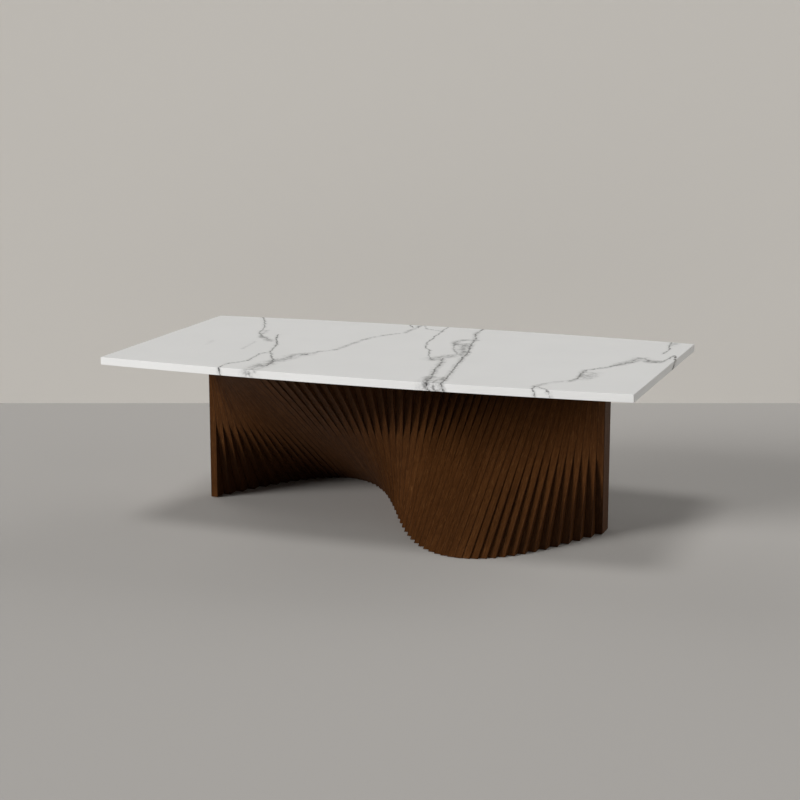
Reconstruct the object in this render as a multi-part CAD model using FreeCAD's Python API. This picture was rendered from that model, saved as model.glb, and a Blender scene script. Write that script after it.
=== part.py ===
# Coffee table: a marble slab on a base of leaning walnut slats.
#
# Lengths are in millimetres. +Z is up, +X runs along the slab and +Y goes to the back. The origin
# is on the floor, under the middle of the slab.
#
# Every slat is a board that stands across the length of the table. Its level section is the same
# rectangle at every height, so a slat that leans is a parallelogram. The slats touch face to face
# and all cross at half their height, where one threaded rod pulls them together. Along the table
# their lean follows one full wave: the foot of a slat stands as far behind the middle line as its
# head stands in front of it. Half a turn about the upright middle line leaves the table the same.

import FreeCAD, Part
import math
import os

# Whole table
table_height = 440.0

# Marble slab: its ends are straight, and each long side bows outwards along one arc
slab_length = 1400.0
slab_end_width = 715.0
slab_bow = 35.0
slab_thickness = 20.0
slab_arris = 1.0

# Walnut slats
slat_count = 57
slat_thickness = 19.4
slat_depth = 60.0
slat_edge_ease = 0.5

# Wave of the slats' feet: how far its crests stand from the middle line, and the little of the third
# harmonic that makes its shoulders fuller than a plain sine's
wave_reach = 325.0
wave_fullness_share = 0.02

# Slats beside a crest, counted from it, whose twin on the other side shares their node
twin_steps = (1, 2)

# Threaded rod along the line where the slats cross
rod_diameter = 10.0
rod_hole_clearance = 0.5
rod_end_past_nut = 2.0

# A washer and a thin nut on each end of the rod, in a blind pocket inside the end slat. The washer
# fits the pocket closely, so it centres the end slat on the rod
washer_diameter = 20.0
washer_thickness = 2.0
washer_bore_clearance = 0.5
nut_across_flats = 17.0
nut_thickness = 5.0
nut_bore_clearance = 0.2
nut_sides = 6
pocket_clearance = 0.5
pocket_end_gap = 2.0

# A dowel below the rod at each end, which keeps the end slat from turning about it
dowel_diameter = 8.0
dowel_length = 24.0
dowel_drop = 120.0
dowel_hole_clearance = 0.2
dowel_end_gap = 0.5

# Strips of pad under the slab and of felt on the floor, on every support_step-th slat
support_step = 7
pad_length = 44.0
pad_width = 14.0
pad_thickness = 2.0
glide_length = 44.0
glide_width = 14.0
glide_thickness = 1.0

# How far a cut runs past the face that it opens
overrun = 1.0

# Sizes that follow
slat_height = table_height - slab_thickness - pad_thickness - glide_thickness
foot_height = glide_thickness
head_height = foot_height + slat_height
crossing_height = foot_height + slat_height / 2
inner_length = (slat_count - 2) * slat_thickness
rod_overhang = washer_thickness + nut_thickness + rod_end_past_nut

along_table = FreeCAD.Vector(1, 0, 0)
upright = FreeCAD.Vector(0, 0, 1)
half_turn_degrees = 180


def slat_x(index):
    """Return where the middle of a slat stands along the table."""
    return (index - (slat_count - 1) / 2) * slat_thickness


def sway(index):
    """Return how far a slat's foot stands behind the middle line, and its head in front of it."""
    phase = 2 * math.pi * index / (slat_count - 1)
    wave = math.sin(phase) + wave_fullness_share * math.sin(3 * phase)
    return wave_reach * wave / (1 - wave_fullness_share)


def slat_y(index, height):
    """Return how far the middle of a slat stands behind the middle line at a height."""
    return sway(index) * (crossing_height - height) / (crossing_height - foot_height)


def bar(start, length, diameter):
    """Return a round bar that runs along the table from a point."""
    return Part.makeCylinder(diameter / 2, length, start, along_table)


def strip(middle, width, length, thickness):
    """Return a flat strip across the table that stands on a point."""
    return Part.makeBox(width, length, thickness, middle - FreeCAD.Vector(width / 2, length / 2, 0))


def half_turn(shape):
    """Return a copy of a shape, turned half round the table's upright middle line."""
    turned = shape.copy()
    turned.rotate(FreeCAD.Vector(0, 0, 0), upright, half_turn_degrees)
    return turned


def with_half_turns(shapes):
    """Return shapes, followed by their copies turned half round."""
    return shapes + [half_turn(shape) for shape in shapes]


def slab_outline():
    """Return the outline of the slab's underside: its front, its right end and their half turns."""
    underside = table_height - slab_thickness
    front_left = FreeCAD.Vector(-slab_length / 2, -slab_end_width / 2, underside)
    front_middle = FreeCAD.Vector(0, -slab_end_width / 2 - slab_bow, underside)
    front_right = FreeCAD.Vector(slab_length / 2, -slab_end_width / 2, underside)
    back_right = FreeCAD.Vector(slab_length / 2, slab_end_width / 2, underside)
    front = Part.Arc(front_left, front_middle, front_right).toShape()
    right_end = Part.makeLine(front_right, back_right)
    return Part.Wire(with_half_turns([front, right_end]))


def marble_slab():
    """Return the slab, with every edge eased."""
    slab = Part.Face(slab_outline()).extrude(upright * slab_thickness)
    return slab.makeChamfer(slab_arris, slab.Edges)


def slat_section(x, y, z):
    """Return the level section of a slat: a rectangle with its four corners eased."""
    near_x = slat_thickness / 2 - slat_edge_ease
    far_x = slat_thickness / 2
    near_y = slat_depth / 2 - slat_edge_ease
    far_y = slat_depth / 2
    quarter = [(far_x, near_y), (near_x, far_y)]
    half = quarter + [(-px, py) for px, py in reversed(quarter)]
    outline = half + [(-px, -py) for px, py in half]
    points = [FreeCAD.Vector(x + px, y + py, z) for px, py in outline]
    return Part.Face(Part.makePolygon(points + points[:1]))


def slat_blank(index):
    """Return a slat before it is drilled."""
    section = slat_section(slat_x(index), sway(index), foot_height)
    return section.extrude(FreeCAD.Vector(0, -2 * sway(index), slat_height))


def rod_start():
    """Return where the rod's middle line enters the stack of inner slats, at the left end."""
    return FreeCAD.Vector(-inner_length / 2, 0, crossing_height)


def rod_hole():
    """Return the cut for the rod through the inner slats."""
    return bar(rod_start(), inner_length, rod_diameter + rod_hole_clearance)


def rod_pockets():
    """Return the cuts for the blind pockets that take the rod's ends inside the end slats."""
    depth = rod_overhang + pocket_end_gap
    bottom = rod_start() - along_table * depth
    return with_half_turns([bar(bottom, depth, washer_diameter + pocket_clearance)])


def dowel_bars(diameter, length):
    """Return a bar across the joint between the two slats at each end, where they overlap."""
    height = crossing_height - dowel_drop
    shared_y = (slat_y(0, height) + slat_y(1, height)) / 2
    joint_x = slat_x(0) + slat_thickness / 2
    return with_half_turns([bar(FreeCAD.Vector(joint_x - length / 2, shared_y, height), length, diameter)])


def dowel_holes():
    """Return the cuts for the dowels in the two slats at each end."""
    return dowel_bars(dowel_diameter + dowel_hole_clearance, dowel_length + 2 * dowel_end_gap)


def drilled_slats():
    """Return every slat, drilled for the rod and the dowels that reach it."""
    cuts = [rod_hole()] + rod_pockets() + dowel_holes()
    slats = []
    for index in range(slat_count):
        blank = slat_blank(index)
        reached = [cut for cut in cuts if cut.BoundBox.intersect(blank.BoundBox)]
        slats.append(blank.cut(reached))
    return slats


def slat_groups():
    """Return the slats' indexes under their nodes' names: single slats, and twins beside a crest."""
    quarter = (slat_count - 1) // 4
    twins = [(crest - step, crest + step) for crest in (quarter, 3 * quarter) for step in twin_steps]
    groups = {f"slats_{low + 1:02d}_and_{high + 1:02d}": (low, high) for low, high in twins}
    paired = {index for pair in twins for index in pair}
    for index in range(slat_count):
        if index not in paired:
            groups[f"slat_{index + 1:02d}"] = (index,)
    return groups


def tie_rod():
    """Return the rod, which ends just past its nuts."""
    return bar(rod_start() - along_table * rod_overhang, inner_length + 2 * rod_overhang, rod_diameter)


def rod_bore(outer, thickness, clearance):
    """Return the cut for the rod through a washer or a nut, from its outer face inwards."""
    return bar(outer - along_table * overrun, thickness + 2 * overrun, rod_diameter + clearance)


def rod_washers():
    """Return the washers, which bear on the outermost inner slats."""
    outer = rod_start() - along_table * washer_thickness
    plate = bar(outer, washer_thickness, washer_diameter)
    return with_half_turns([plate.cut(rod_bore(outer, washer_thickness, washer_bore_clearance))])


def rod_nuts():
    """Return the thin nuts, which bear on the washers."""
    outer = rod_start() - along_table * (washer_thickness + nut_thickness)
    corner_radius = nut_across_flats / 2 / math.cos(math.pi / nut_sides)
    angles = [2 * math.pi * side / nut_sides for side in range(nut_sides)]
    spokes = [FreeCAD.Vector(0, math.cos(angle), math.sin(angle)) for angle in angles]
    points = [outer + spoke * corner_radius for spoke in spokes]
    blank = Part.Face(Part.makePolygon(points + points[:1])).extrude(along_table * nut_thickness)
    return with_half_turns([blank.cut(rod_bore(outer, nut_thickness, nut_bore_clearance))])


def supported_slats():
    """Return the indexes of the slats that carry a pad and a glide."""
    return range(0, slat_count, support_step)


def slab_pads():
    """Return the pads between the slats' heads and the slab."""
    heads = [FreeCAD.Vector(slat_x(index), -sway(index), head_height) for index in supported_slats()]
    return [strip(head, pad_width, pad_length, pad_thickness) for head in heads]


def floor_glides():
    """Return the glides between the slats' feet and the floor."""
    feet = [FreeCAD.Vector(slat_x(index), sway(index), 0) for index in supported_slats()]
    return [strip(foot, glide_width, glide_length, glide_thickness) for foot in feet]


def table_nodes():
    """Return every node of the table: its name and its separate solids."""
    nodes = {"marble_top": [marble_slab()]}
    slats = drilled_slats()
    for name, indexes in slat_groups().items():
        nodes[name] = [slats[index] for index in indexes]
    nodes["tie_rod"] = [tie_rod()]
    nodes["rod_washers"] = rod_washers()
    nodes["rod_nuts"] = rod_nuts()
    nodes["end_dowels"] = dowel_bars(dowel_diameter, dowel_length)
    nodes["slab_pads"] = slab_pads()
    nodes["floor_glides"] = floor_glides()
    return nodes


os.makedirs("parts", exist_ok=True)
for node_name, solids in table_nodes().items():
    shape = solids[0] if len(solids) == 1 else Part.makeCompound(solids)
    shape.exportStep(os.path.join("parts", node_name + ".step"))
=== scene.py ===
"""Looks of a low table: a veined marble slab on a wave of leaning walnut slats.

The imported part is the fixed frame. Lengths are in metres, +Z is up, +X runs along the slab and +Y goes
to the back. Colours are linear.
"""

import logging
import math
from collections.abc import Iterable
from dataclasses import dataclass, field
from enum import Enum

import bmesh
import bpy
from mathutils import Matrix, Vector


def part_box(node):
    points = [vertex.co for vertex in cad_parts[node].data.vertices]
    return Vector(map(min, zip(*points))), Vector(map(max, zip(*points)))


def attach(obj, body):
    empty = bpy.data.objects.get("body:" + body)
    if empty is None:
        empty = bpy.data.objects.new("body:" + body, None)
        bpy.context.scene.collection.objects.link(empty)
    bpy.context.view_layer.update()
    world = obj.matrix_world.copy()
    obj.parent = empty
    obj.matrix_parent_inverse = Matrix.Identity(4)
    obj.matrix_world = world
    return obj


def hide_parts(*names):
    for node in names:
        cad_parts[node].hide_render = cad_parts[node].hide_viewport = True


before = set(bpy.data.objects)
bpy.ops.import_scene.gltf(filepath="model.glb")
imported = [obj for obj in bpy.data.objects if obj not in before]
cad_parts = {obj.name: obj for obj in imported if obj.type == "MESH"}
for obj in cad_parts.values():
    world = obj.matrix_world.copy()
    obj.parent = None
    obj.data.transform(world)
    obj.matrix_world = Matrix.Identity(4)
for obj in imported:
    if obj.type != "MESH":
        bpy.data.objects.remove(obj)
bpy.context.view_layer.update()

LOG = logging.getLogger("coffee_table")
BODY = "root"

# A noise runs from 0 to 1 about this value
NOISE_MIDDLE = 0.5
# The Mix node's sockets for colours, by number, because their names repeat
MIX_FIRST, MIX_SECOND, MIX_RESULT = 6, 7, 2

Triple = tuple[float, float, float]
Colour = Triple
Spot = tuple[float, float]
Limits = tuple[float, float]
Operand = "Signal | float"


class Signal:
    """One value socket of a shader, which takes part in Python arithmetic."""

    def __init__(self, graph: "ShaderGraph", socket: bpy.types.NodeSocket) -> None:
        """Keep the socket and the graph that its arithmetic is added to."""
        self.graph = graph
        self.socket = socket

    def math(self, operation: str, *values: Operand) -> "Signal":
        """Add a Math node with its operands in order, and return its result."""
        return self.graph.add("ShaderNodeMath", {"operation": operation}, dict(enumerate(values)))

    def __add__(self, other: Operand) -> "Signal":
        """Return self + other."""
        return self.math("ADD", self, other)

    def __radd__(self, other: Operand) -> "Signal":
        """Return other + self."""
        return self.math("ADD", other, self)

    def __sub__(self, other: Operand) -> "Signal":
        """Return self - other."""
        return self.math("SUBTRACT", self, other)

    def __rsub__(self, other: Operand) -> "Signal":
        """Return other - self."""
        return self.math("SUBTRACT", other, self)

    def __mul__(self, other: Operand) -> "Signal":
        """Return self * other."""
        return self.math("MULTIPLY", self, other)

    def __rmul__(self, other: Operand) -> "Signal":
        """Return other * self."""
        return self.math("MULTIPLY", other, self)

    def __truediv__(self, other: Operand) -> "Signal":
        """Return self / other."""
        return self.math("DIVIDE", self, other)

    def clamped(self) -> "Signal":
        """Return the value held between 0 and 1."""
        return self.graph.add("ShaderNodeClamp", {}, {"Value": self})

    def floor(self) -> "Signal":
        """Return the next whole number down."""
        return self.math("FLOOR", self)

    def magnitude(self) -> "Signal":
        """Return the value without its sign."""
        return self.math("ABSOLUTE", self)

    def sine(self) -> "Signal":
        """Return the sine."""
        return self.math("SINE", self)

    def root(self) -> "Signal":
        """Return the square root."""
        return self.math("SQRT", self)

    def least(self, other: Operand) -> "Signal":
        """Return the lesser of two values."""
        return self.math("MINIMUM", self, other)

    def step(self, start: float, end: float, low: float = 0.0, high: float = 1.0) -> "Signal":
        """Ease from one level to another.

        Args:
            start: the value at which the change starts.
            end: the value at which it ends.
            low: the level at start.
            high: the level at end.

        Returns:
            The eased level, held between the two.
        """
        settings = {"interpolation_type": "SMOOTHSTEP", "clamp": False}
        inputs = {"Value": self, "From Min": start, "From Max": end, "To Min": low, "To Max": high}
        return self.graph.add("ShaderNodeMapRange", settings, inputs)


class VectorSignal(Signal):
    """A vector socket of a shader, whose arithmetic goes through Vector Math."""

    def vector_math(self, operation: str, *values: object, output: object = 0) -> Signal:
        """Add a Vector Math node with its operands in order, and return one of its outputs."""
        settings = {"operation": operation}
        return self.graph.add("ShaderNodeVectorMath", settings, dict(enumerate(values)), output)

    def __add__(self, other: object) -> "VectorSignal":
        """Return self + other."""
        return self.vector_math("ADD", self, other)

    def __sub__(self, other: object) -> "VectorSignal":
        """Return self - other."""
        return self.vector_math("SUBTRACT", self, other)

    def __mul__(self, other: object) -> "VectorSignal":
        """Return self * other, part by part."""
        return self.vector_math("MULTIPLY", self, other)

    def dot(self, other: object) -> Signal:
        """Return the dot product with another vector."""
        return self.vector_math("DOT_PRODUCT", self, other, output="Value")

    def length(self) -> Signal:
        """Return the vector's length."""
        return self.vector_math("LENGTH", self, output="Value")

    def less_along(self, direction: Vector, share: Signal) -> "VectorSignal":
        """Return the vector less a share of a fixed direction."""
        inputs = {0: tuple(direction), "Scale": share}
        return self - self.graph.add("ShaderNodeVectorMath", {"operation": "SCALE"}, inputs)

    def parts(self) -> tuple[Signal, Signal, Signal]:
        """Return the x, y and z parts."""
        node = self.graph.node("ShaderNodeSeparateXYZ", {}, {0: self})
        return tuple(Signal(self.graph, output) for output in node.outputs)


class ShaderGraph:
    """The nodes of one material or of the world, emptied first."""

    def __init__(self, owner: bpy.types.Material | bpy.types.World) -> None:
        """Keep the material or world, and clear its nodes.

        Args:
            owner: the material or world.
        """
        self.owner = owner
        owner.use_nodes = True
        self.tree = owner.node_tree
        self.tree.nodes.clear()

    @classmethod
    def for_material(cls, name: str) -> "ShaderGraph":
        """Return the graph of a new material."""
        return cls(bpy.data.materials.new(name))

    def node(self, kind: str, settings: dict[str, object], inputs: dict[object, object]) -> bpy.types.Node:
        """Add a node.

        Args:
            kind: the node's type.
            settings: its properties, set first. A ramp takes its stops under "stops".
            inputs: values or links for its sockets, by name or number.

        Returns:
            The node.
        """
        node = self.tree.nodes.new(kind)
        for key, value in settings.items():
            if key == "stops":
                self.set_stops(node.color_ramp, value)
            else:
                setattr(node, key, value)
        for key, value in inputs.items():
            if isinstance(value, Signal):
                value = value.socket
            if isinstance(value, bpy.types.NodeSocket):
                self.tree.links.new(value, node.inputs[key])
            else:
                node.inputs[key].default_value = value
        return node

    def add(self, kind: str, settings: dict[str, object], inputs: dict[object, object],
            output: object = 0) -> Signal:
        """Add a node as node() does, and take one of its outputs.

        Args:
            kind: the node's type.
            settings: its properties.
            inputs: values or links for its sockets.
            output: the output, by name or number.

        Returns:
            The output as a signal.
        """
        socket = self.node(kind, settings, inputs).outputs[output]
        shape = VectorSignal if socket.type == "VECTOR" else Signal
        return shape(self, socket)

    @staticmethod
    def set_stops(ramp: bpy.types.ColorRamp, stops: Iterable[tuple[float, Colour]]) -> None:
        """Give a ramp its stops.

        Args:
            ramp: the ramp.
            stops: the place and the colour of each stop.
        """
        stops = list(stops)
        while len(ramp.elements) < len(stops):
            ramp.elements.new(1.0)
        for element, (place, colour) in zip(ramp.elements, stops):
            element.position = place
            element.color = (*colour, 1.0)

    def place(self) -> VectorSignal:
        """Return the place on the piece, in metres."""
        return self.add("ShaderNodeTexCoord", {}, {}, "Object")

    def normal(self) -> VectorSignal:
        """Return the direction that the surface faces."""
        return self.add("ShaderNodeNewGeometry", {}, {}, "True Normal")

    def vector(self, x: Operand, y: Operand, z: Operand) -> VectorSignal:
        """Return a vector of three parts."""
        return self.add("ShaderNodeCombineXYZ", {}, {0: x, 1: y, 2: z})

    def noise(self, place: VectorSignal, scale: float, detail: float, rough: float) -> Signal:
        """Add a noise.

        Args:
            place: where it is read.
            scale: its waves to a metre.
            detail: its octaves.
            rough: how much weight the finer octaves have.

        Returns:
            The noise, from 0 to 1.
        """
        inputs = {"Vector": place, "Scale": scale, "Detail": detail, "Roughness": rough}
        return self.add("ShaderNodeTexNoise", {"noise_dimensions": "3D"}, inputs, "Fac")

    def noise_vector(self, place: VectorSignal, scale: float, detail: float) -> VectorSignal:
        """Add a noise of three parts.

        Args:
            place: where it is read.
            scale: its waves to a metre.
            detail: its octaves.

        Returns:
            The noise, each part from -0.5 to 0.5.
        """
        inputs = {"Vector": place, "Scale": scale, "Detail": detail}
        colour = self.add("ShaderNodeTexNoise", {"noise_dimensions": "3D"}, inputs, "Color")
        return VectorSignal(self, colour.socket) - (NOISE_MIDDLE, NOISE_MIDDLE, NOISE_MIDDLE)

    def ramp(self, share: Signal, stops: Iterable[tuple[float, Colour]]) -> Signal:
        """Return a colour picked from a ramp."""
        return self.add("ShaderNodeValToRGB", {"stops": stops}, {"Fac": share}, "Color")

    def mix(self, share: Operand, first: object, second: object) -> Signal:
        """Return two colours, mixed by the share of the second."""
        inputs = {0: share, MIX_FIRST: self.full(first), MIX_SECOND: self.full(second)}
        return self.add("ShaderNodeMix", {"data_type": "RGBA"}, inputs, MIX_RESULT)

    @staticmethod
    def full(colour: object) -> object:
        """Return a written colour with its alpha, and a linked one as it is."""
        return (*colour, 1.0) if isinstance(colour, tuple) else colour

    def bump(self, height: Signal, distance: float, strength: float = 1.0) -> VectorSignal:
        """Return the normal of a surface with a fine relief of that height."""
        inputs = {"Height": height, "Distance": distance, "Strength": strength}
        return self.add("ShaderNodeBump", {}, inputs)

    def finish(self, inputs: dict[str, object]) -> bpy.types.Material:
        """Close the graph with a Principled surface.

        Args:
            inputs: values or links for the surface's sockets.

        Returns:
            The finished material.
        """
        surface = self.add("ShaderNodeBsdfPrincipled", {}, inputs)
        self.node("ShaderNodeOutputMaterial", {}, {"Surface": surface})
        return self.owner


@dataclass(frozen=True)
class Wave:
    """The law of the slats: how they stand along the base and how far each one leans."""

    count: int = 57
    thickness: float = 0.0194
    reach: float = 0.325
    fullness_share: float = 0.02
    harmonic: float = 3.0
    foot: float = 0.001
    head: float = 0.418
    support_step: int = 7

    @property
    def crossing(self) -> float:
        """Return the height at which all the slats cross."""
        return (self.foot + self.head) / 2

    def along(self, index: int) -> float:
        """Return where the middle of a slat stands along the base."""
        return (index - (self.count - 1) / 2) * self.thickness

    def sway(self, index: int) -> float:
        """Find how far a slat's foot stands behind the middle line.

        Args:
            index: the slat's number along the base, from 0.

        Returns:
            The distance, which is below 0 in front of the line.
        """
        phase = 2 * math.pi * index / (self.count - 1)
        wave = math.sin(phase) + self.fullness_share * math.sin(self.harmonic * phase)
        return self.reach * wave / (1 - self.fullness_share)

    def supported(self) -> range:
        """Return the indexes of the slats that carry a strip at their head and foot."""
        return range(0, self.count, self.support_step)


@dataclass(frozen=True)
class Figure:
    """A noise that is drawn out along a board: its waves to a metre across and along, and its make-up."""

    across: float
    along: float
    detail: float
    rough: float

    def read(self, graph: ShaderGraph, board: VectorSignal) -> Signal:
        """Return the noise at a place on a board."""
        return graph.noise(board * (self.across, self.across, self.along), 1.0, self.detail, self.rough)


@dataclass(frozen=True)
class Walnut:
    """Dark stained walnut, whose grain runs along each slat's own lean.

    Limits are the values of a noise, or of a facing, between which something changes.
    """

    wave: Wave
    dark: Colour = (0.0285, 0.0099, 0.0026)
    middle: Colour = (0.0605, 0.0221, 0.0060)
    light: Colour = (0.0985, 0.0379, 0.0111)
    fleck: Colour = (0.151, 0.0682, 0.0222)
    # Painted shade: the near-black colour laid along each joint between slats
    painted_joint_shade: Colour = (0.006, 0.0022, 0.0008)
    rings: Figure = Figure(150.0, 3.0, 3.0, 0.55)
    fibre: Figure = Figure(520.0, 24.0, 3.0, 0.6)
    pores: Figure = Figure(1500.0, 70.0, 1.0, 0.5)
    flecks: Figure = Figure(800.0, 45.0, 1.0, 0.5)
    ring_share: float = 0.35
    fibre_share: float = 0.65
    contrast: float = 2.2
    board_spread: float = 0.16
    board_offsets: Triple = (3.0, 5.0, 7.0)
    pore_limits: Limits = (0.30, 0.42)
    fleck_limits: Limits = (0.60, 0.76)
    fleck_share: float = 0.5
    # The band of painted joint shade: its width as a share of a slat, and how dark it is
    painted_joint_shade_share: float = 0.08
    painted_joint_shade_depth: float = 0.65
    front_limits: Limits = (0.8, 0.6)
    inward: float = 0.002
    roughness: float = 0.55
    dull_step: float = 0.08
    shine_step: float = 0.06
    shine_limits: Limits = (0.2, 0.8)
    specular: float = 0.12
    relief: float = 0.0003
    relief_strength: float = 0.6
    pore_relief_share: float = 0.5

    def sway(self, index: Signal) -> Signal:
        """Find how far a slat's foot stands behind the middle line, by the wave's law.

        Args:
            index: the slat's number along the base, from 0.

        Returns:
            The distance.
        """
        phase = index * (2 * math.pi / (self.wave.count - 1))
        wave = phase.sine() + (phase * self.wave.harmonic).sine() * self.wave.fullness_share
        return wave * (self.wave.reach / (1 - self.wave.fullness_share))

    def board(self, graph: ShaderGraph, place: tuple[Signal, Signal, Signal],
              index: Signal) -> tuple[VectorSignal, Signal]:
        """Find a place on the board that each slat is cut from.

        Args:
            graph: the material's graph.
            place: the x, y and z parts of the place.
            index: the slat's number along the base, from 0.

        Returns:
            The place on the slat's own board, and the slat's own chance from 0 to 1.
        """
        x, y, z = place
        sway = self.sway(index)
        rise = self.wave.crossing - self.wave.foot
        across = y - sway * ((self.wave.crossing - z) * (1 / rise))
        slope = sway * (1 / rise)
        along = z * (slope * slope + 1.0).root()
        chance = graph.add("ShaderNodeTexWhiteNoise", {"noise_dimensions": "1D"}, {"W": index}, "Color")
        chances = VectorSignal(graph, chance.socket).parts()
        x_off, y_off, z_off = (part * offset for part, offset in zip(chances, self.board_offsets))
        return graph.vector(x + x_off, across + y_off, along + z_off), chances[0]

    def material(self) -> bpy.types.Material:
        """Make the material.

        Returns:
            The finished material.
        """
        graph = ShaderGraph.for_material("walnut")
        place = graph.place().parts()
        facing, _, _ = graph.normal().parts()
        half_stack = self.wave.count * self.wave.thickness / 2
        stack = (place[0] + half_stack) / self.wave.thickness
        index = (stack - facing * (self.inward / self.wave.thickness)).floor()
        board, chance = self.board(graph, place, index)
        rings, fibre = self.rings.read(graph, board), self.fibre.read(graph, board)
        grain = rings * self.ring_share + fibre * self.fibre_share
        own_tone = (chance - NOISE_MIDDLE) * self.board_spread + NOISE_MIDDLE
        tone = (grain - NOISE_MIDDLE) * self.contrast + own_tone
        stops = ((0.0, self.dark), (NOISE_MIDDLE, self.middle), (1.0, self.light))
        colour = graph.ramp(tone.clamped(), stops)
        pits = self.pores.read(graph, board).step(*self.pore_limits)
        flecks = self.flecks.read(graph, board).step(*self.fleck_limits, 0.0, self.fleck_share)
        colour = graph.mix(pits, self.dark, colour)
        colour = graph.mix(flecks, colour, self.fleck)
        # Painted shade: darken a thin band at each joint between slats, on the faces that look to the front
        # and back
        off_middle = (stack - stack.floor() - 0.5).magnitude()
        painted_joint_shade = off_middle.step(0.5 - self.painted_joint_shade_share, 0.5 - self.painted_joint_shade_share / 2)
        front = (facing * facing).step(*self.front_limits)
        colour = graph.mix(painted_joint_shade * front * self.painted_joint_shade_depth, colour, self.painted_joint_shade)
        dull, shiny = self.roughness + self.dull_step, self.roughness - self.shine_step
        shine = grain.step(*self.shine_limits, dull, shiny)
        relief = graph.bump(grain + pits * self.pore_relief_share, self.relief, self.relief_strength)
        return graph.finish({"Base Color": colour, "Roughness": shine, "Normal": relief,
                             "Specular IOR Level": self.specular})


@dataclass(frozen=True)
class Vein:
    """One vein of the marble: a dark core and a soft haze along a route over the slab's top.

    Each width is how far that part reaches to either side of the route, and each depth is how dark it is.
    The lean is how far the vein moves sideways and back for each metre down through the stone.
    """

    route: tuple[Spot, ...]
    width: float
    depth: float
    haze_width: float
    haze_depth: float
    lean: Spot = (-0.35, -0.2)


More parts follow.
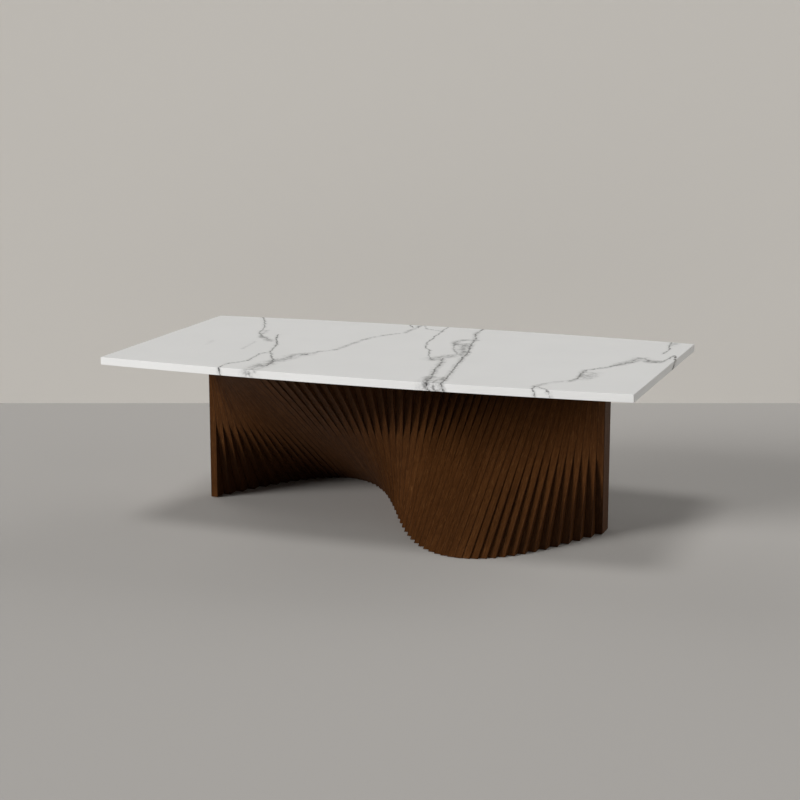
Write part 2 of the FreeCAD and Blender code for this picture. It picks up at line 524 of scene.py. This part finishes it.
VEINS = (
    Vein(((-0.572, 0.380), (-0.540, 0.315), (-0.498, 0.223), (-0.470, 0.123), (-0.437, 0.069),
          (-0.412, 0.045)), 0.0030, 0.85, 0.010, 0.22),
    Vein(((-0.409, 0.115), (-0.394, 0.069), (-0.369, 0.015), (-0.351, -0.031), (-0.320, -0.131),
          (-0.296, -0.185), (-0.259, -0.254), (-0.250, -0.315)), 0.0032, 1.00, 0.010, 0.20),
    Vein(((-0.437, 0.069), (-0.385, 0.012)), 0.0040, 0.30, 0.020, 0.42),
    Vein(((-0.468, 0.165), (-0.437, 0.050)), 0.0040, 0.20, 0.014, 0.28),
    Vein(((-0.317, -0.138), (-0.336, -0.169), (-0.330, -0.215), (-0.322, -0.262), (-0.330, -0.285),
          (-0.351, -0.323), (-0.356, -0.354), (-0.354, -0.394)), 0.0034, 0.75, 0.012, 0.22),
    Vein(((-0.090, 0.392), (-0.088, 0.354), (-0.091, 0.262), (-0.119, 0.223), (-0.149, 0.154),
          (-0.158, 0.108), (-0.168, 0.000), (-0.174, -0.062), (-0.198, -0.085), (-0.220, -0.146)),
         0.0050, 0.18, 0.014, 0.42),
    Vein(((-0.220, -0.140), (-0.241, -0.169), (-0.253, -0.246), (-0.265, -0.338), (-0.270, -0.394)),
         0.0060, 0.12, 0.036, 0.55),
    Vein(((-0.222, -0.150), (-0.218, -0.140)), 0.0080, 0.30, 0.016, 0.25),
    Vein(((-0.125, 0.392), (-0.100, 0.352)), 0.0034, 0.95, 0.007, 0.20),
    Vein(((-0.092, 0.374), (-0.082, 0.350)), 0.0034, 0.95, 0.007, 0.20),
    Vein(((-0.008, 0.395), (0.000, 0.320), (0.008, 0.240), (0.020, 0.130), (0.042, 0.052), (0.062, 0.030),
          (0.076, -0.015), (0.098, -0.068), (0.122, -0.108)), 0.0030, 0.70, 0.009, 0.20),
    Vein(((-0.075, 0.388), (-0.052, 0.345), (-0.015, 0.325), (0.000, 0.312)), 0.0036, 0.50, 0.008, 0.15),
    Vein(((0.110, -0.095), (0.124, -0.060), (0.140, -0.035)), 0.0060, 0.15, 0.036, 0.50),
    Vein(((0.095, 0.395), (0.098, 0.340), (0.101, 0.305), (0.130, 0.210), (0.141, 0.148), (0.160, 0.070),
          (0.175, 0.000), (0.179, -0.055), (0.190, -0.115), (0.205, -0.195), (0.221, -0.282), (0.233, -0.350),
          (0.238, -0.395)), 0.0034, 1.00, 0.014, 0.36),
    Vein(((0.176, -0.040), (0.180, -0.064)), 0.0060, 0.95, 0.010, 0.30),
    Vein(((0.188, -0.102), (0.192, -0.122)), 0.0048, 0.90, 0.009, 0.25),
    Vein(((0.128, 0.150), (0.140, 0.080), (0.166, -0.010)), 0.0100, 0.32, 0.028, 0.42),
    Vein(((0.130, 0.208), (0.106, 0.212), (0.091, 0.180), (0.094, 0.150), (0.108, 0.128)),
         0.0046, 0.36, 0.022, 0.40),
    Vein(((0.098, 0.140), (0.110, 0.124)), 0.0060, 0.80, 0.010, 0.30),
    Vein(((0.094, 0.150), (0.112, 0.085), (0.126, 0.042), (0.150, 0.000)), 0.0036, 0.55, 0.010, 0.22),
    Vein(((0.136, -0.075), (0.151, -0.130), (0.160, -0.200), (0.175, -0.262), (0.190, -0.320),
          (0.199, -0.395)), 0.0036, 1.00, 0.016, 0.40),
    Vein(((0.184, -0.320), (0.188, -0.395)), 0.0044, 0.34, 0.026, 0.46),
    Vein(((0.222, -0.320), (0.212, -0.360), (0.216, -0.395)), 0.0040, 0.46, 0.026, 0.46),
    Vein(((0.512, -0.395), (0.490, -0.368), (0.455, -0.345)), 0.0032, 0.72, 0.010, 0.30),
    Vein(((0.456, -0.346), (0.472, -0.300), (0.490, -0.272), (0.518, -0.246)), 0.0044, 0.06, 0.015, 0.30),
    Vein(((0.518, -0.246), (0.527, -0.223), (0.522, -0.154), (0.517, -0.108), (0.540, -0.077),
          (0.559, -0.054), (0.575, -0.008)), 0.0036, 0.72, 0.014, 0.45),
    Vein(((0.575, -0.008), (0.598, 0.046), (0.607, 0.095), (0.623, 0.100), (0.640, 0.069), (0.659, 0.062),
          (0.668, 0.076)), 0.0042, 0.42, 0.024, 0.66),
    Vein(((0.668, 0.076), (0.675, 0.092), (0.686, 0.169)), 0.0036, 0.72, 0.010, 0.30),
    Vein(((0.686, 0.169), (0.692, 0.148), (0.702, 0.096)), 0.0044, 1.00, 0.009, 0.25, (0.0, 1.65)),
    Vein(((0.458, -0.352), (0.462, -0.395)), 0.0034, 0.70, 0.010, 0.25),
    Vein(((0.545, -0.135), (0.545, -0.208)), 0.0140, 0.12, 0.032, 0.42),
    Vein(((0.635, 0.385), (0.641, 0.318), (0.652, 0.262), (0.652, 0.185)), 0.0034, 0.72, 0.010, 0.22),
    Vein(((0.652, 0.385), (0.648, 0.310)), 0.0060, 0.10, 0.018, 0.32),
    Vein(((-0.538, -0.030), (-0.526, -0.090)), 0.0050, 0.05, 0.014, 0.10),
    Vein(((-0.421, -0.008), (-0.414, -0.060), (-0.408, -0.125)), 0.0036, 0.12, 0.010, 0.14),
)


@dataclass(frozen=True)
class Mottle:
    """A noise that is eased from one level to another: its waves to a metre, its make-up and the change."""

    waves: float
    detail: float
    rough: float
    start: float
    end: float
    low: float
    high: float

    def read(self, graph: ShaderGraph, place: VectorSignal) -> Signal:
        """Return the eased noise at a place."""
        noise = graph.noise(place, self.waves, self.detail, self.rough)
        return noise.step(self.start, self.end, self.low, self.high)


@dataclass(frozen=True)
class Marble:
    """White marble with grey veins that run on down its edges.

    Two noises shift the veins' routes, slowly and finely. A third makes their edges ragged, by so many of the
    vein's widths.
    """

    top: float
    white: Colour = (0.775, 0.775, 0.765)
    grey: Colour = (0.060, 0.060, 0.060)
    wander_waves: float = 14.0
    wander_reach: Triple = (0.012, 0.024, 0.0)
    tremble_waves: float = 80.0
    tremble_reach: Triple = (0.010, 0.026, 0.0)
    ragged_waves: float = 150.0
    ragged_stretch: Triple = (1.0, 0.45, 1.0)
    ragged_rough: float = 0.65
    ragged_reach: float = 1.2
    octaves: float = 3.0
    specks: Mottle = Mottle(100.0, 3.0, 0.7, 0.38, 0.58, 0.15, 1.25)
    drift: Mottle = Mottle(36.0, 4.0, 0.7, 0.36, 0.62, 0.20, 1.25)
    ground: Mottle = Mottle(5.0, 4.0, 0.55, 0.3, 0.8, 1.0, 0.965)
    speck_share: float = 0.55
    core_limits: Limits = (1.0, 0.2)
    roughness: float = 0.32
    vein_roughness: float = 0.42
    vein_limits: Limits = (0.3, 1.0)
    specular: float = 0.4

    def reach(self, place: VectorSignal, vein: Vein) -> Signal:
        """Find how far a place is from a vein.

        Args:
            place: the place.
            vein: the vein.

        Returns:
            The distance, in the vein's widths.
        """
        scale = 1 / vein.width
        scaled = place * (scale, scale, 0.0)
        spots = [Vector((x * scale, y * scale, 0.0)) for x, y in vein.route]
        nearest = None
        for start, end in zip(spots, spots[1:]):
            run = end - start
            offset = scaled - tuple(start)
            share = offset.dot(tuple(run / run.length_squared)).clamped()
            distance = offset.less_along(run, share).length()
            nearest = distance if nearest is None else nearest.least(distance)
        return nearest

    def material(self) -> bpy.types.Material:
        """Make the material.

        Returns:
            The finished material.
        """
        graph = ShaderGraph.for_material("marble")
        place = graph.place()
        _, _, z = place.parts()
        above = z - self.top
        wander = graph.noise_vector(place, self.wander_waves, self.octaves) * self.wander_reach
        tremble = graph.noise_vector(place, self.tremble_waves, self.octaves) * self.tremble_reach
        drawn = place + wander + tremble
        specks = self.specks.read(graph, place)
        cloud = self.drift.read(graph, place) * (specks * self.speck_share + (1 - self.speck_share))
        clear = self.ground.read(graph, place)
        ragged = graph.noise(place * self.ragged_stretch, self.ragged_waves, self.octaves, self.ragged_rough)
        ragged = ragged * (2 * self.ragged_reach) - self.ragged_reach
        leans = dict.fromkeys(vein.lean for vein in VEINS)
        leant = {lean: drawn.less_along(Vector((*lean, 0.0)), above) for lean in leans}
        for vein in VEINS:
            reach = self.reach(leant[vein.lean], vein) + ragged
            core = reach.step(*self.core_limits, 0.0, vein.depth) * specks
            haze = reach.step(vein.haze_width / vein.width, 0.0, 0.0, vein.haze_depth) * cloud
            clear = clear * (1.0 - core.least(1.0)) * (1.0 - haze)
        colour = graph.mix(clear.clamped(), self.grey, self.white)
        shine = clear.step(*self.vein_limits, self.vein_roughness, self.roughness)
        return graph.finish({"Base Color": colour, "Roughness": shine, "Specular IOR Level": self.specular})


@dataclass(frozen=True)
class PlainFinish:
    """A hidden or small piece's finish: one colour with a fine mottle and its own gloss."""

    name: str
    colour: Colour
    roughness: float
    metallic: float = 0.0
    mottle_waves: float = 400.0
    mottle_detail: float = 3.0
    mottle_rough: float = 0.6
    mottle_share: float = 0.15
    mottle_limits: Limits = (0.25, 0.75)
    gloss_step: float = 0.05
    gloss_limits: Limits = (0.2, 0.8)
    relief: float = 0.0002

    def material(self) -> bpy.types.Material:
        """Make the material.

        Returns:
            The finished material.
        """
        graph = ShaderGraph.for_material(self.name)
        mottle = graph.noise(graph.place(), self.mottle_waves, self.mottle_detail, self.mottle_rough)
        shade = tuple(part * (1 - self.mottle_share) for part in self.colour)
        tint = tuple(min(1.0, part * (1 + self.mottle_share)) for part in self.colour)
        colour = graph.ramp(mottle, zip(self.mottle_limits, (shade, tint)))
        shiny, dull = self.roughness - self.gloss_step, self.roughness + self.gloss_step
        gloss = mottle.step(*self.gloss_limits, shiny, dull)
        surface = {"Base Color": colour, "Roughness": gloss, "Metallic": self.metallic,
                   "Normal": graph.bump(mottle, self.relief)}
        return graph.finish(surface)


STEEL = PlainFinish("steel", (0.58, 0.58, 0.59), 0.32, metallic=1.0)
BEECH = PlainFinish("beech", (0.44, 0.25, 0.12), 0.6)
CLEAR_RUBBER = PlainFinish("clear_rubber", (0.52, 0.52, 0.50), 0.35)
FELT = PlainFinish("felt", (0.010, 0.008, 0.007), 0.95, mottle_waves=900.0, mottle_share=0.4)


def piece_from(name: str, shape: bmesh.types.BMesh, material: bpy.types.Material) -> bpy.types.Object:
    """Make a piece that rides on the table.

    Args:
        name: the piece's name.
        shape: its bmesh, which is freed.
        material: its finish.

    Returns:
        The piece's object.
    """
    mesh = bpy.data.meshes.new(name)
    shape.to_mesh(mesh)
    shape.free()
    mesh.materials.append(material)
    piece = bpy.data.objects.new(name, mesh)
    bpy.context.scene.collection.objects.link(piece)
    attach(piece, BODY)
    LOG.info("%s: %d faces", name, len(mesh.polygons))
    return piece


def dress(node: str, material: bpy.types.Material) -> None:
    """Give a node of the frame a finish.

    Args:
        node: the node's name.
        material: the finish.
    """
    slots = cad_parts[node].data.materials
    slots.clear()
    slots.append(material)


@dataclass
class MarbleTop:
    """The slab: straight ends, long sides that bow outwards, and every edge eased."""

    node: str = "marble_top"
    end_width: float = 0.715
    arris: float = 0.0012
    arris_segments: int = 3
    sharp_angle: float = math.radians(45)
    bow_steps: int = 48
    low: Vector = field(init=False)
    high: Vector = field(init=False)

    def __post_init__(self) -> None:
        """Take the slab's box from the frame."""
        self.low, self.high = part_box(self.node)

    def outline(self, shape: bmesh.types.BMesh) -> list[bmesh.types.BMEdge]:
        """Draw one long side by spinning a corner about the middle of its bow, and turn a copy half round.

        Args:
            shape: the bmesh that takes the two sides.

        Returns:
            The edges of both sides.
        """
        half_length = self.high.x
        half_end = self.end_width / 2
        bow = self.high.y - half_end
        radius = (half_length ** 2 + bow ** 2) / (2 * bow)
        middle = Vector((0.0, radius - self.high.y, 0.0))
        corner = shape.verts.new((-half_length, -half_end, self.low.z))
        sweep = 2 * math.asin(half_length / radius)
        bmesh.ops.spin(shape, geom=[corner], cent=middle, axis=(0.0, 0.0, 1.0), dvec=(0.0, 0.0, 0.0),
                       angle=sweep, steps=self.bow_steps)
        copy = bmesh.ops.duplicate(shape, geom=shape.verts[:] + shape.edges[:])["geom"]
        turned = [part for part in copy if isinstance(part, bmesh.types.BMVert)]
        bmesh.ops.rotate(shape, verts=turned, cent=(0.0, 0.0, 0.0), matrix=Matrix.Rotation(math.pi, 3, "Z"))
        return shape.edges[:]

    def build(self) -> bpy.types.Object:
        """Build the slab, which stands for the frame's own.

        Returns:
            The finished slab.
        """
        shape = bmesh.new()
        sides = self.outline(shape)
        bmesh.ops.bridge_loops(shape, edges=sides)
        bmesh.ops.recalc_face_normals(shape, faces=shape.faces[:])
        lifted = bmesh.ops.extrude_face_region(shape, geom=shape.faces[:], use_keep_orig=True)["geom"]
        rise = Vector((0.0, 0.0, self.high.z - self.low.z))
        upper = [part for part in lifted if isinstance(part, bmesh.types.BMVert)]
        bmesh.ops.translate(shape, verts=upper, vec=rise)
        bmesh.ops.recalc_face_normals(shape, faces=shape.faces[:])
        sharp = [edge for edge in shape.edges if edge.calc_face_angle(0.0) > self.sharp_angle]
        bmesh.ops.bevel(shape, geom=sharp, offset=self.arris, offset_type="OFFSET", affect="EDGES",
                        segments=self.arris_segments, profile=0.5, material=-1)
        slab = piece_from("marble_slab", shape, Marble(self.high.z).material())
        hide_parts(self.node)
        return slab


@dataclass
class SlatBase:
    """The slats of the frame, dressed as walnut."""

    wave: Wave

    def dress(self) -> None:
        """Give every slat its finish."""
        walnut = Walnut(self.wave).material()
        slats = [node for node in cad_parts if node.startswith("slat")]
        for node in slats:
            dress(node, walnut)
        LOG.info("slats: %d nodes dressed", len(slats))


@dataclass
class Hardware:
    """The rod, its washers and nuts, and the dowels, all hidden inside the base."""

    steel_nodes: tuple[str, ...] = ("tie_rod", "rod_washers", "rod_nuts")
    beech_nodes: tuple[str, ...] = ("end_dowels",)

    def dress(self) -> None:
        """Give each piece its finish."""
        for finish, nodes in ((STEEL, self.steel_nodes), (BEECH, self.beech_nodes)):
            material = finish.material()
            for node in nodes:
                dress(node, material)
            LOG.info("%s: %d nodes dressed", finish.name, len(nodes))


class StripEnd(Enum):
    """Which end of a slat a strip sits on."""

    HEAD = "slab_pads"
    FOOT = "floor_glides"


@dataclass
class Strips:
    """Soft strips across the slats: clear rubber at their heads and felt at their feet."""

    wave: Wave
    length: float = 0.044
    width: float = 0.014
    corner: float = 0.003
    corner_segments: int = 5
    rim: float = 0.0003
    rim_segments: int = 2
    level_share: float = 0.5

    def strip(self, shape: bmesh.types.BMesh, middle: Vector, height: float) -> None:
        """Add one strip with rounded corners and a soft rim.

        Args:
            shape: the bmesh that takes the strip.
            middle: the strip's middle.
            height: its thickness.
        """
        size = Matrix.Diagonal((self.width, self.length, height, 1.0))
        made = bmesh.ops.create_cube(shape, size=1.0, matrix=Matrix.Translation(middle) @ size)["verts"]
        edges = {edge for vert in made for edge in vert.link_edges}
        upright = [edge for edge in edges if abs(edge.verts[0].co.z - edge.verts[1].co.z) > height / 2]
        rounded = bmesh.ops.bevel(shape, geom=upright, offset=self.corner, offset_type="OFFSET",
                                  affect="EDGES", segments=self.corner_segments, profile=0.5, material=-1)
        faces = {face for vert in rounded["verts"] for face in vert.link_faces}
        rims = {edge for face in faces if abs(face.normal.z) > self.level_share for edge in face.edges}
        bmesh.ops.bevel(shape, geom=list(rims), offset=self.rim, offset_type="OFFSET", affect="EDGES",
                        segments=self.rim_segments, profile=0.5, material=-1)

    def build(self, end: StripEnd, finish: PlainFinish) -> bpy.types.Object:
        """Build all the strips at one end of the slats.

        Args:
            end: the end of the slats that they sit on.
            finish: their finish, which has the name of the record's material slot.

        Returns:
            The strips as one piece.
        """
        low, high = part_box(end.value)
        toward = -1.0 if end is StripEnd.HEAD else 1.0
        shape = bmesh.new()
        for index in self.wave.supported():
            middle = Vector((self.wave.along(index), toward * self.wave.sway(index), (low.z + high.z) / 2))
            self.strip(shape, middle, high.z - low.z)
        piece = piece_from(end.value.replace("_", "_soft_"), shape, finish.material())
        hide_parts(end.value)
        return piece


@dataclass(frozen=True)
class Lamp:
    """A soft lamp far from the table: where it hangs and how wide it looks, in degrees, and its level.

    The azimuth is 0 in front of the table and 90 at its right end.
    """

    name: str
    azimuth: float
    elevation: float
    spread: float
    level: float


@dataclass
class Studio:
    """A pale floor, a pale backdrop, soft light and the camera."""

    aim: Triple = (-0.0093, 0.0, 0.3063)
    azimuth: float = 20.07
    elevation: float = 11.79
    distance: float = 4.878
    lens: float = 83.04
    backdrop_distance: float = 1.42
    backdrop_half_size: float = 20.0
    floor_half_size: float = 40.0
    floor_roughness: float = 0.85
    floor_specular: float = 0.2
    floor_colour: Colour = (0.452, 0.433, 0.410)
    wall_colour: Colour = (0.720, 0.692, 0.648)
    sky_colour: Colour = (0.470, 0.447, 0.412)
    ambient_colour: Colour = (1.0, 0.99, 0.975)
    ambient: float = 0.06
    lamps: tuple[Lamp, ...] = (
        Lamp("key", -48.0, 15.0, 28.0, 3.50),
        Lamp("overhead", -40.0, 78.0, 18.0, 0.77),
        Lamp("side", 84.0, 20.0, 50.0, 0.42),
        Lamp("rim", -122.0, 24.0, 45.0, 0.65),
        Lamp("back", 150.0, 25.0, 40.0, 0.8),
    )

    @staticmethod
    def bearing(azimuth: float, elevation: float) -> Vector:
        """Return the direction from the table to a place round it, in degrees."""
        turn, lift = math.radians(azimuth), math.radians(elevation)
        return Vector((math.sin(turn) * math.cos(lift), -math.cos(turn) * math.cos(lift), math.sin(lift)))

    @staticmethod
    def plain(name: str, half_size: float) -> bpy.types.Object:
        """Make a flat square of the stage that faces up, with its middle at the origin.

        Args:
            name: its name.
            half_size: half its side.

        Returns:
            The object.
        """
        shape = bmesh.new()
        bmesh.ops.create_grid(shape, x_segments=1, y_segments=1, size=half_size)
        mesh = bpy.data.meshes.new(name)
        shape.to_mesh(mesh)
        shape.free()
        piece = bpy.data.objects.new(name, mesh)
        bpy.context.scene.collection.objects.link(piece)
        return piece

    def floor(self) -> None:
        """Lay the floor."""
        floor = self.plain("floor", self.floor_half_size)
        graph = ShaderGraph.for_material("floor")
        surface = {"Base Color": graph.full(self.floor_colour), "Roughness": self.floor_roughness,
                   "Specular IOR Level": self.floor_specular}
        floor.data.materials.append(graph.finish(surface))

    def backdrop(self) -> None:
        """Stand the backdrop behind the table. It shows from its front only, and takes no light away."""
        wall = self.plain("backdrop", self.backdrop_half_size)
        back = -self.bearing(self.azimuth, 0.0) * self.backdrop_distance
        turn = Matrix.Rotation(math.radians(self.azimuth), 4, "Z") @ Matrix.Rotation(math.pi / 2, 4, "X")
        wall.data.transform(Matrix.Translation(back) @ turn)
        wall.visible_shadow = False
        wall.visible_diffuse = False
        graph = ShaderGraph.for_material("backdrop")
        paint = graph.add("ShaderNodeBsdfDiffuse", {}, {"Color": graph.full(self.wall_colour)})
        clear = graph.add("ShaderNodeBsdfTransparent", {}, {})
        behind = graph.add("ShaderNodeNewGeometry", {}, {}, "Backfacing")
        surface = graph.add("ShaderNodeMixShader", {}, {0: behind, 1: paint, 2: clear})
        graph.node("ShaderNodeOutputMaterial", {}, {"Surface": surface})
        wall.data.materials.append(graph.owner)

    def hang(self, lamp: Lamp) -> None:
        """Hang a lamp that faces the table. No view shows its reflection, which would white out the slab.

        Args:
            lamp: the lamp.
        """
        light = bpy.data.lights.new(lamp.name, "SUN")
        light.energy = lamp.level
        light.angle = math.radians(lamp.spread)
        piece = bpy.data.objects.new(lamp.name, light)
        piece.rotation_euler = self.bearing(lamp.azimuth, lamp.elevation).to_track_quat("Z", "Y").to_euler()
        piece.visible_glossy = False
        bpy.context.scene.collection.objects.link(piece)

    def light(self) -> None:
        """Hang the lamps in an even world, which shows pale to the camera and in reflections."""
        world = bpy.data.worlds.new("studio")
        bpy.context.scene.world = world
        graph = ShaderGraph(world)
        rays = graph.node("ShaderNodeLightPath", {}, {}).outputs
        kinds = ("Is Camera Ray", "Is Glossy Ray", "Is Transmission Ray")
        camera, glossy, through = (Signal(graph, rays[kind]) for kind in kinds)
        lit = {"Color": graph.full(self.ambient_colour), "Strength": self.ambient}
        even = graph.add("ShaderNodeBackground", {}, lit)
        pale = graph.add("ShaderNodeBackground", {}, {"Color": graph.full(self.sky_colour)})
        seen = (camera + glossy + through).least(1.0)
        surface = graph.add("ShaderNodeMixShader", {}, {0: seen, 1: even, 2: pale})
        graph.node("ShaderNodeOutputWorld", {}, {"Surface": surface})
        for lamp in self.lamps:
            self.hang(lamp)

    def camera(self) -> None:
        """Stand the camera at the viewing angle."""
        data = bpy.data.cameras.new("camera")
        data.lens = self.lens
        camera = bpy.data.objects.new("camera", data)
        toward = self.bearing(self.azimuth, self.elevation)
        camera.location = Vector(self.aim) + toward * self.distance
        camera.rotation_euler = toward.to_track_quat("Z", "Y").to_euler()
        bpy.context.scene.collection.objects.link(camera)
        bpy.context.scene.camera = camera

    def build(self) -> None:
        """Set the stage."""
        self.floor()
        self.backdrop()
        self.light()
        self.camera()
        bpy.context.scene.view_settings.view_transform = "Standard"


def main() -> None:
    """Build the table's pieces in order, then the stage."""
    logging.basicConfig(level=logging.INFO, format="%(name)s: %(message)s")
    wave = Wave()
    MarbleTop().build()
    SlatBase(wave).dress()
    Hardware().dress()
    strips = Strips(wave)
    strips.build(StripEnd.HEAD, CLEAR_RUBBER)
    strips.build(StripEnd.FOOT, FELT)
    Studio().build()


if __name__ == "__main__":
    main()
